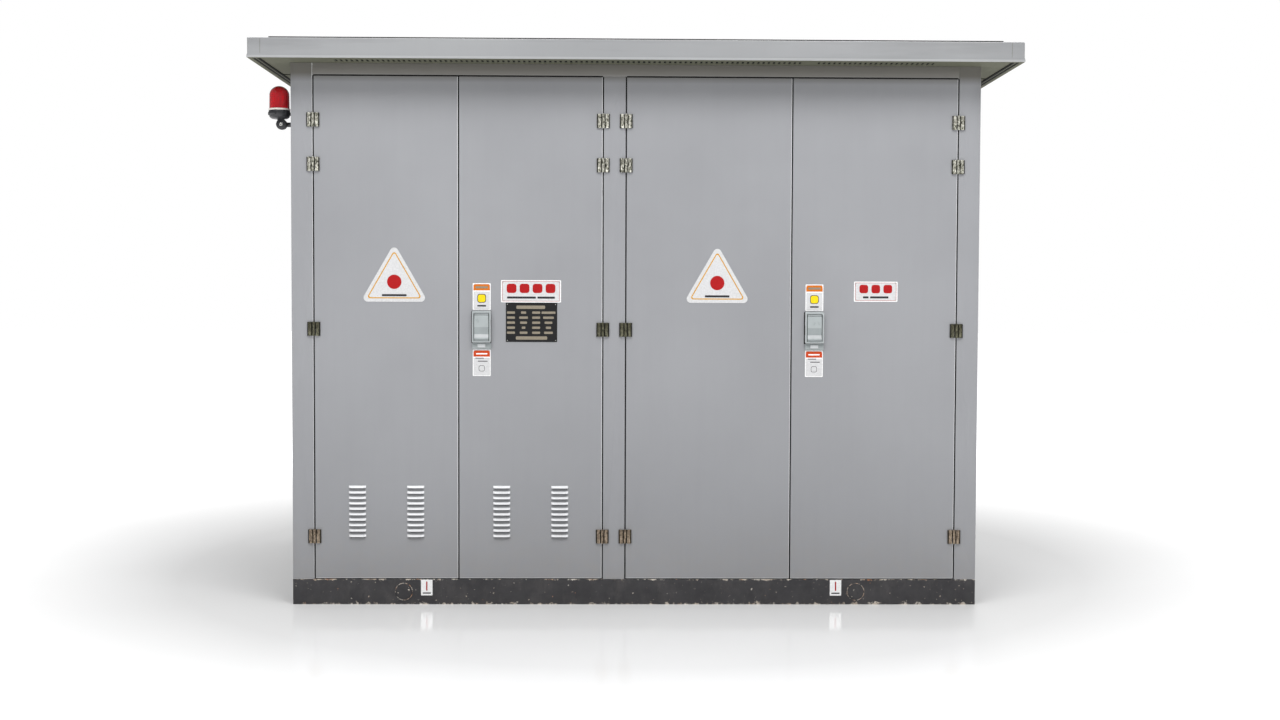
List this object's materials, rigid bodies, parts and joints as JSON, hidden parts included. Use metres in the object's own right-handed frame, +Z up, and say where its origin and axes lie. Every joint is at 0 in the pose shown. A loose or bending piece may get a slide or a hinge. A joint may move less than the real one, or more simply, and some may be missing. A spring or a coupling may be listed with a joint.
{
  "type": "prefabricated compact substation",
  "caption": "Outdoor steel kiosk substation with transformer and low-voltage rooms behind hinged double doors, hipped roof with vented eaves, and a rotating beacon.",
  "frame": {"origin": "middle of the footprint, on the ground", "axes": "+Z up, the doors face -Y, +X towards the low-voltage room"},
  "size_m": [2.95, 2.27, 2.242],
  "materials": {
    "grey_paint": "satin",
    "roof_paint": "satin",
    "black_paint": "satin",
    "hinge_nickel": "satin",
    "lock_plastic": "satin",
    "dark_plastic": "matte",
    "red_lens": "gloss",
    "mirror_silver": "polished",
    "tank_paint": "satin",
    "bushing_ceramic": "gloss",
    "breaker_plastic": "matte",
    "zinc_sheet": "satin",
    "handle_red": "satin"
  },
  "bodies": {
    "kiosk": {"base_front_channel": "black_paint", "base_rear_channel": "black_paint", "base_left_channel": "black_paint", "base_right_channel": "black_paint", "front_cross_beam": "black_paint", "rear_cross_beam": "black_paint", "front_floor_plate": "zinc_sheet", "rear_floor_plate": "zinc_sheet", "partition_wall": "zinc_sheet", "front_left_post": "grey_paint", "front_centre_post": "grey_paint", "front_right_post": "grey_paint", "rear_left_post": "grey_paint", "rear_centre_post": "grey_paint", "rear_right_post": "grey_paint", "front_header": "grey_paint", "rear_header": "grey_paint", "left_wall": "grey_paint", "right_wall": "grey_paint", "transformer_rear_panel": "grey_paint", "switchgear_rear_panel": "grey_paint", "switchboard_panel": "grey_paint", "roof_cover": "roof_paint", "front_soffit": "roof_paint", "rear_soffit": "roof_paint", "left_soffit": "roof_paint", "right_soffit": "roof_paint", "left_post_hinge_leaves": "hinge_nickel", "centre_post_hinge_leaves": "hinge_nickel", "right_post_hinge_leaves": "hinge_nickel", "beacon_bracket": "dark_plastic", "transformer_tank": "tank_paint", "transformer_cover": "tank_paint", "hv_bushings": "bushing_ceramic", "lv_bushings": "bushing_ceramic", "main_breaker": "breaker_plastic", "feeder_breakers": "breaker_plastic"},
    "door_1": {"door_1_panel": "grey_paint", "door_1_hinge_leaves": "hinge_nickel"},
    "door_2": {"door_2_panel": "grey_paint", "door_2_hinge_leaves": "hinge_nickel", "lock_housing_2": "lock_plastic"},
    "door_3": {"door_3_panel": "grey_paint", "door_3_hinge_leaves": "hinge_nickel"},
    "door_4": {"door_4_panel": "grey_paint", "door_4_hinge_leaves": "hinge_nickel", "lock_housing_4": "lock_plastic"},
    "flap_2": {"lock_flap_2": "lock_plastic"},
    "flap_4": {"lock_flap_4": "lock_plastic"},
    "knob_2": {"lock_knob_2": "dark_plastic"},
    "knob_4": {"lock_knob_4": "dark_plastic"},
    "pin_front_left": {"lifting_pin_front_left": "black_paint"},
    "pin_front_right": {"lifting_pin_front_right": "black_paint"},
    "pin_rear_left": {"lifting_pin_rear_left": "black_paint"},
    "pin_rear_right": {"lifting_pin_rear_right": "black_paint"},
    "beacon_head": {"beacon_base": "dark_plastic", "beacon_dome": "red_lens"},
    "reflector": {"beacon_reflector": "mirror_silver"},
    "tap_changer": {"tap_changer_handle": "dark_plastic"},
    "breaker_handle": {"main_breaker_handle": "handle_red"}
  },
  "joints": [
    {"name": "door_1_swing", "type": "hinge", "parent": "kiosk", "child": "door_1", "pos_m": [-1.254, -1.006, 1.081], "axis": [0, 0, -1], "range_deg": [0, 110]},
    {"name": "door_2_swing", "type": "hinge", "parent": "kiosk", "child": "door_2", "pos_m": [-0.13, -1.006, 1.081], "axis": [0, 0, 1], "range_deg": [0, 87]},
    {"name": "door_3_swing", "type": "hinge", "parent": "kiosk", "child": "door_3", "pos_m": [-0.041, -1.006, 1.081], "axis": [0, 0, -1], "range_deg": [0, 87]},
    {"name": "door_4_swing", "type": "hinge", "parent": "kiosk", "child": "door_4", "pos_m": [1.254, -1.006, 1.081], "axis": [0, 0, 1], "range_deg": [0, 110]},
    {"name": "flap_2_lift", "type": "hinge", "parent": "door_2", "child": "flap_2", "pos_m": [-0.602, -1.016, 1.1382], "axis": [-1, 0, 0], "range_deg": [0, 100]},
    {"name": "knob_2_turn", "type": "hinge", "parent": "door_2", "child": "knob_2", "pos_m": [-0.602, -1.01, 1.088], "axis": [0, 1, 0], "range_deg": [0, 90]},
    {"name": "flap_4_lift", "type": "hinge", "parent": "door_4", "child": "flap_4", "pos_m": [0.6965, -1.016, 1.1382], "axis": [-1, 0, 0], "range_deg": [0, 100]},
    {"name": "knob_4_turn", "type": "hinge", "parent": "door_4", "child": "knob_4", "pos_m": [0.6965, -1.01, 1.088], "axis": [0, 1, 0], "range_deg": [0, 90]},
    {"name": "pin_front_left_slide", "type": "slide", "parent": "kiosk", "child": "pin_front_left", "axis": [0, -1, 0], "range_m": [0, 0.1]},
    {"name": "pin_front_right_slide", "type": "slide", "parent": "kiosk", "child": "pin_front_right", "axis": [0, -1, 0], "range_m": [0, 0.1]},
    {"name": "pin_rear_left_slide", "type": "slide", "parent": "kiosk", "child": "pin_rear_left", "axis": [0, 1, 0], "range_m": [0, 0.1]},
    {"name": "pin_rear_right_slide", "type": "slide", "parent": "kiosk", "child": "pin_rear_right", "axis": [0, 1, 0], "range_m": [0, 0.1]},
    {"name": "beacon_tilt", "type": "hinge", "parent": "kiosk", "child": "beacon_head", "pos_m": [-1.39, -0.93, 1.878], "axis": [0, -1, 0], "range_deg": [0, 60]},
    {"name": "reflector_spin", "type": "hinge", "parent": "beacon_head", "child": "reflector", "pos_m": [-1.399, -0.93, 1.945], "axis": [0, 0, 1], "continuous": true},
    {"name": "tap_changer_turn", "type": "hinge", "parent": "kiosk", "child": "tap_changer", "pos_m": [-0.692, 0.04, 0.97], "axis": [0, 0, 1], "range_deg": [-60, 60]},
    {"name": "breaker_handle_turn", "type": "hinge", "parent": "kiosk", "child": "breaker_handle", "pos_m": [0.36, -0.86, 1.29], "axis": [0, 1, 0], "range_deg": [0, 90]}
  ]
}
